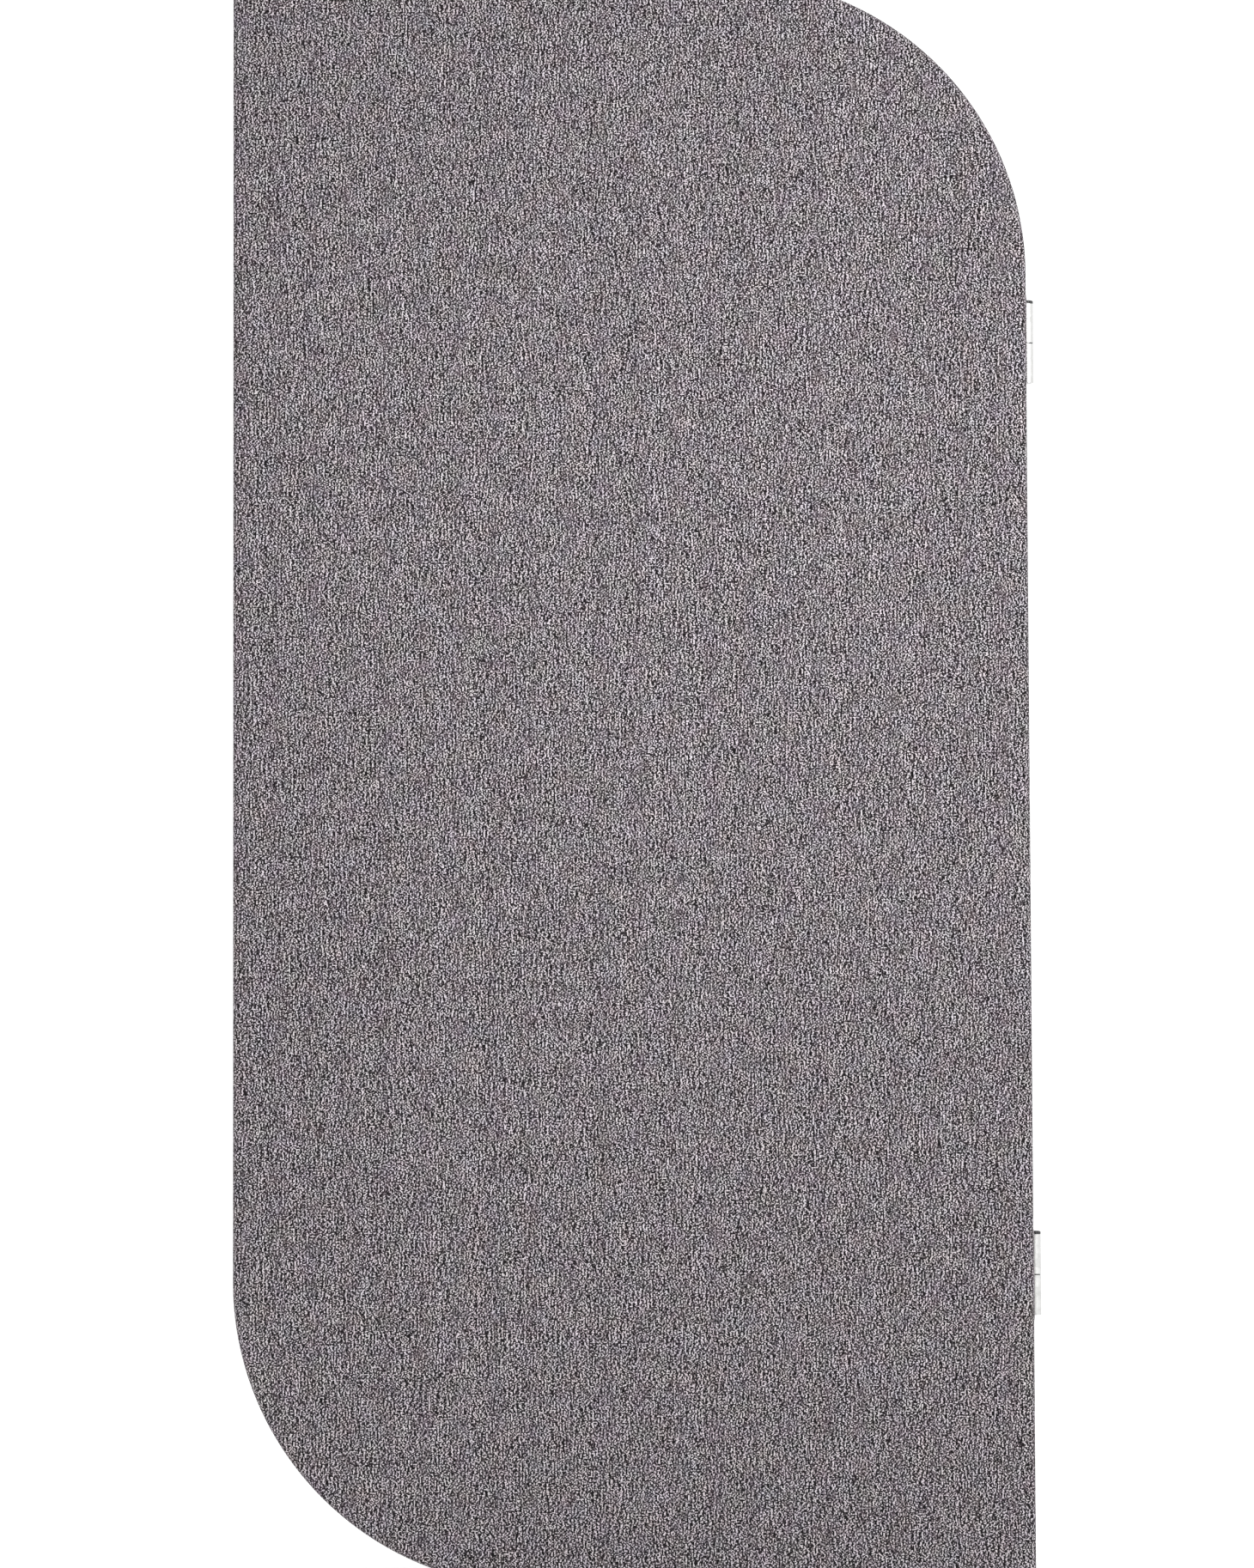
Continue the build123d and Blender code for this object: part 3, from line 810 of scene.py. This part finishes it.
def make_cover(panel, face, material, net):
    """One cloth cover: the flat face of a panel, wrapped round its edge to the seam."""
    low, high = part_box(f"{panel}_{face}_cover")
    outward = OUTWARD[panel] if face == "outer" else -OUTWARD[panel]
    face_y, seam_y = (low.y, high.y) if outward < 0 else (high.y, low.y)
    points, normals, lengths, inner, fill, edge_depth = net
    on_hinge_side = normals[:, 0] > HINGE_SIDE
    places, flat = [], []
    for inset, depth, sideways, facing, along in cover_section():
        from_seam = edge_depth - depth
        across = abs(seam_y + outward * from_seam)
        shift = cloth_shift(panel, points, lengths[:-1], on_hinge_side, from_seam, across) * sideways
        shift += -EDGE_SINK * facing
        level = points + normals * (shift * sideways - inset)[:, None]
        places.append(np.c_[level[:, 0], face_y - outward * (depth - shift * facing), level[:, 1]])
        flat.append(points + normals * (along - EDGE_RADIUS))
    inside = depth_inside(inner, (low.x, low.z), (high.x, high.z), PANEL_RADII)
    seed = 2 * (panel == "rear") + (face == "inner")
    swell = FACE_WAVE * waves_over(inner, seed, *FACE_WAVE_LENGTHS) * smooth_step(inside / FACE_WAVE_FADE)
    swell -= EDGE_SINK * np.exp(-(inside - RING_INSET) / EDGE_SINK_REACH)
    places.append(np.c_[inner[:, 0], face_y + outward * swell, inner[:, 1]])
    flat.append(inner)
    count, rings = len(points), len(places) - 1
    start = (rings - 1) * count
    faces = ring_faces(rings, count) + [tuple(start + k for k in triangle) for triangle in fill]
    if outward > 0:
        faces = [tuple(reversed(f)) for f in faces]
    flat = np.vstack(flat) * np.array((-outward, 1.0))
    offset = CLOTH_CUT * (1 + seed)
    piece = closed_cloth(f"{panel}_{face}_cloth", np.vstack(places), faces, count, flat, offset)
    piece.data.materials.append(material)
    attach(piece, f"{panel}_panel")
    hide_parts(f"{panel}_{face}_cover")


def make_seam_thread(panel, material):
    """The row of stitches that closes the seam round the middle of a panel's edge."""
    low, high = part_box(f"{panel}_outer_cover")
    seam_y = high.y if panel == "front" else low.y
    points, normals, lengths = outline((low.x, low.z), (high.x, high.z), PANEL_RADII, 1 * MM)
    count = round(lengths[-1] / STITCH_PITCH)
    places, faces = [], []
    for k in range(count):
        index = int(np.searchsorted(lengths, (k + 0.5) * lengths[-1] / count)) % len(points)
        point, normal = points[index], normals[index]
        along = np.array((-normal[1], normal[0]))
        behind_leaf = normal[0] > HINGE_SIDE and any(
            abs(point[1] - hinge_middle(h)) < LEAF_HALF_HEIGHT + LEAF_CORNER for h in HINGES
        )
        if behind_leaf:
            continue
        base = len(places)
        for row in range(STITCH_ROWS):
            share = 2 * row / (STITCH_ROWS - 1) - 1
            sunk = STITCH_SUNK + STITCH_DIP * STITCH_SUNK * share**2
            middle = point - normal * sunk + along * STITCH_SLANT * share / 2
            thick = STITCH_RADIUS * (1 - STITCH_THINNING * share**2)
            for side in range(STITCH_SIDES):
                angle = 2 * math.pi * side / STITCH_SIDES
                spot = middle + thick * (normal * math.sin(angle) + along * math.cos(angle))
                places.append((spot[0], seam_y + share * STITCH_HALF_WIDTH, spot[1]))
        faces += [tuple(base + k for k in quad) for quad in ring_faces(STITCH_ROWS, STITCH_SIDES)]
        faces.append(tuple(base + side for side in reversed(range(STITCH_SIDES))))
        faces.append(tuple(base + (STITCH_ROWS - 1) * STITCH_SIDES + side for side in range(STITCH_SIDES)))
    piece = link_object(f"{panel}_seam_thread", build_mesh(f"{panel}_seam_thread", np.array(places), faces))
    piece.data.materials.append(material)
    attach(piece, f"{panel}_panel")


# Felt under the cloth and in the frame's openings


def felt_slab(name, low, high, radii, seed, edge):
    """A slab of felt with soft edges and slightly uneven faces."""
    corners = (low.x, low.z), (high.x, high.z)
    points, normals, _ = outline(*corners, radii, FELT_STEP)
    thickness = high.y - low.y
    arc = [math.pi / 2 * k / FELT_ARC_STEPS for k in range(FELT_ARC_STEPS + 1)]
    section = [(edge * (1 - math.sin(a)), edge * (1 - math.cos(a))) for a in arc]
    section += [(inset, thickness - depth) for inset, depth in reversed(section)]
    rim = edge * FELT_RIM
    section = [(rim, 0.0), *section, (rim, thickness)]
    ring = points - normals * rim
    inner, fill = face_net(ring, *corners, radii, rim, FELT_FACE_STEP)
    swell = FELT_WAVE * waves_over(inner, seed, *FELT_WAVE_LENGTHS)
    places = [np.c_[inner[:, 0], low.y + FELT_WAVE + swell, inner[:, 1]]]
    for inset, depth in section:
        level = points - normals * inset
        places.append(np.c_[level[:, 0], np.full(len(level), low.y + depth), level[:, 1]])
    places.append(np.c_[inner[:, 0], high.y - FELT_WAVE + swell, inner[:, 1]])
    count, start = len(points), len(inner)
    faces = [tuple(start + k for k in quad) for quad in ring_faces(len(section), count)]
    last = start + (len(section) - 1) * count
    for triangle in fill:
        faces.append(tuple(start + k if k < count else k - count for k in reversed(triangle)))
        faces.append(tuple(last + k for k in triangle))
    faces = [tuple(reversed(f)) for f in faces]
    return link_object(name, build_mesh(name, np.vstack(places), faces))


def make_padding(panel, face, material):
    """A padding sheet of needled felt under a cover."""
    node = f"{panel}_{face}_padding"
    low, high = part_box(node)
    radii = [r - COVER_THICKNESS for r in PANEL_RADII]
    piece = felt_slab(f"{panel}_{face}_felt", low, high, radii, len(node), FELT_EDGE)
    piece.data.materials.append(material)
    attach(piece, f"{panel}_panel")
    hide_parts(node)


def make_core(panel, part, material):
    """A slab of sound-absorbing felt in one opening of the frame, round at one corner."""
    node = f"{panel}_{part}_core"
    low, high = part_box(node)
    radii = [CORE_CORNER] * 4
    radii[2 if part == "upper" else 0] = LARGE_RADIUS - COVER_THICKNESS - FRAME_WIDTH
    piece = felt_slab(f"{panel}_{part}_core_slab", low, high, radii, len(node) + CORE_SEED, CORE_EDGE)
    piece.data.materials.append(material)
    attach(piece, f"{panel}_panel")
    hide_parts(node)


# Hinge caps, and the pieces that stay as the frame has them


def make_cap(hinge, material):
    """A cap with upright flutes round its rim, a soft crown, and a stem down into the knuckle."""
    low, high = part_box(f"{hinge}_cap")
    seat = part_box(f"{hinge}_socket_leaf")[1].z
    centre = ((low.x + high.x) / 2, (low.y + high.y) / 2)
    radius, height = (high.x - low.x) / 2, high.z - seat
    stem = radius * CAP_STEM
    foot = low.z - seat
    profile = [
        (0.0, foot, 0),
        (stem * CAP_STEM_END, foot, 0),
        (stem, foot + CAP_STEM_BREAK, 0),
        (stem, 0.0, 0),
    ]
    profile += [(radius * out, height * up, fluted) for out, up, fluted in CAP_CROWN]
    places = []
    for out, up, fluted in profile:
        for k in range(CAP_RING_POINTS):
            angle = 2 * math.pi * k / CAP_RING_POINTS
            hollow = max(0.0, math.cos(CAP_FLUTES * angle)) ** CAP_FLUTE_SHARPNESS
            reach = out - fluted * CAP_FLUTE_DEPTH * hollow
            x, y = centre[0] + reach * math.cos(angle), centre[1] + reach * math.sin(angle)
            places.append((x, y, seat + up))
    faces = ring_faces(len(profile), CAP_RING_POINTS)
    mesh = build_mesh(f"{hinge}_fluted_cap", np.array(places), faces)
    piece = link_object(f"{hinge}_fluted_cap", mesh)
    weld = piece.modifiers.new("poles", "WELD")
    weld.merge_threshold = CAP_WELD
    piece.data.materials.append(material)
    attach(piece, "rear_panel")
    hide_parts(f"{hinge}_cap")


def dress(frame, suffixes, material):
    """Gives the CAD nodes with those endings a material."""
    for name, node in frame["nodes"].items():
        if name.endswith(suffixes):
            node.data.materials.clear()
            node.data.materials.append(material)


# Studio


def make_camera():
    """The camera at the photograph's place and angle."""
    data = bpy.data.cameras.new("camera")
    data.sensor_width = SENSOR_WIDTH
    data.lens = FOCAL_PIXELS * SENSOR_WIDTH / max(PHOTO_WIDTH, PHOTO_HEIGHT)
    data.clip_start, data.clip_end = CAMERA_REACH
    camera = link_object("camera", data)
    tilt = Matrix.Rotation(math.pi / 2 + CAMERA_PITCH, 4, "X")
    roll = Matrix.Rotation(CAMERA_ROLL, 4, "Z")
    camera.matrix_world = Matrix.Translation(CAMERA_PLACE) @ tilt @ roll
    bpy.context.scene.camera = camera


def make_area_light(name, place, target, size, power):
    """A soft square light that faces a target."""
    data = bpy.data.lights.new(name, "AREA")
    data.size = size
    data.energy = power
    light = link_object(name, data)
    light.location = place
    light.visible_camera = False
    light.rotation_mode = "QUATERNION"
    light.rotation_quaternion = (Vector(target) - Vector(place)).to_track_quat("-Z", "Y")


def make_studio():
    """White surroundings, a white floor and two soft lights."""
    world = bpy.data.worlds.new("studio")
    bpy.context.scene.world = world
    world.use_nodes = True
    background = world.node_tree.nodes["Background"]
    background.inputs["Color"].default_value = (1, 1, 1, 1)
    background.inputs["Strength"].default_value = WORLD_LIGHT
    half = FLOOR_SIZE / 2
    corners = np.array(((-half, -half, 0), (half, -half, 0), (half, half, 0), (-half, half, 0)))
    floor = link_object("studio_floor", build_mesh("studio_floor", corners, [(0, 1, 2, 3)]))
    floor.data.materials.append(floor_material())
    make_area_light("key_light", *KEY_LIGHT)
    make_area_light("rim_light", *RIM_LIGHT)
    bpy.context.scene.view_settings.view_transform = "Standard"


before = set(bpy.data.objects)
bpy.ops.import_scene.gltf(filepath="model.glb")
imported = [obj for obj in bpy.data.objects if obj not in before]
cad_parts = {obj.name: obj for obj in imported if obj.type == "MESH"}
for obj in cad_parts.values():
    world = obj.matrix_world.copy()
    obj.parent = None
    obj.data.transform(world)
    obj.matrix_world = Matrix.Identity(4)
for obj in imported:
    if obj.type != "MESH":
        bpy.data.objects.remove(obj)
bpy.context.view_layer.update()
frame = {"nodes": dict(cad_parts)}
make_camera()
make_studio()

cloth = cloth_material()
thread = thread_material()
padding_felt = felt_material("padding_felt", *PALE_FELT)
acoustic_felt = felt_material("acoustic_felt", *DARK_FELT)
upright_timber = wood_material("upright_timber", 2, *SOFTWOOD)
level_timber = wood_material("level_timber", 0, *SOFTWOOD)
beech = wood_material("beech_dowel", 0, *BEECH)
hinge_steel = steel_material("hinge_steel", (0.67, 0.67, 0.66), rough=0.24, scratch_axis=2, scratch=0.8)
pin_steel = steel_material("pin_steel", (0.5, 0.5, 0.505), rough=0.34, scratch_axis=0, scratch=1.0)
screw_steel = steel_material("screw_steel", (0.55, 0.55, 0.54), rough=0.3, scratch_axis=0, scratch=1.0)
nylon = nylon_material()

shared_net = cover_net()
for panel_name in OUTWARD:
    for face_name in ("outer", "inner"):
        make_padding(panel_name, face_name, padding_felt)
        make_cover(panel_name, face_name, cloth, shared_net)
    for part_name in ("upper", "lower"):
        make_core(panel_name, part_name, acoustic_felt)
    make_seam_thread(panel_name, thread)
for hinge_name in HINGES:
    make_cap(hinge_name, nylon)

dress(frame, ("hinge_stile", "free_stile"), upright_timber)
dress(frame, ("_rail", "top_corner", "bottom_corner"), level_timber)
dress(frame, ("frame_dowels",), beech)
dress(frame, ("_leaf",), hinge_steel)
dress(frame, ("_pin",), pin_steel)
dress(frame, ("_screws",), screw_steel)
dress(frame, ("_glides", "_washer"), nylon)
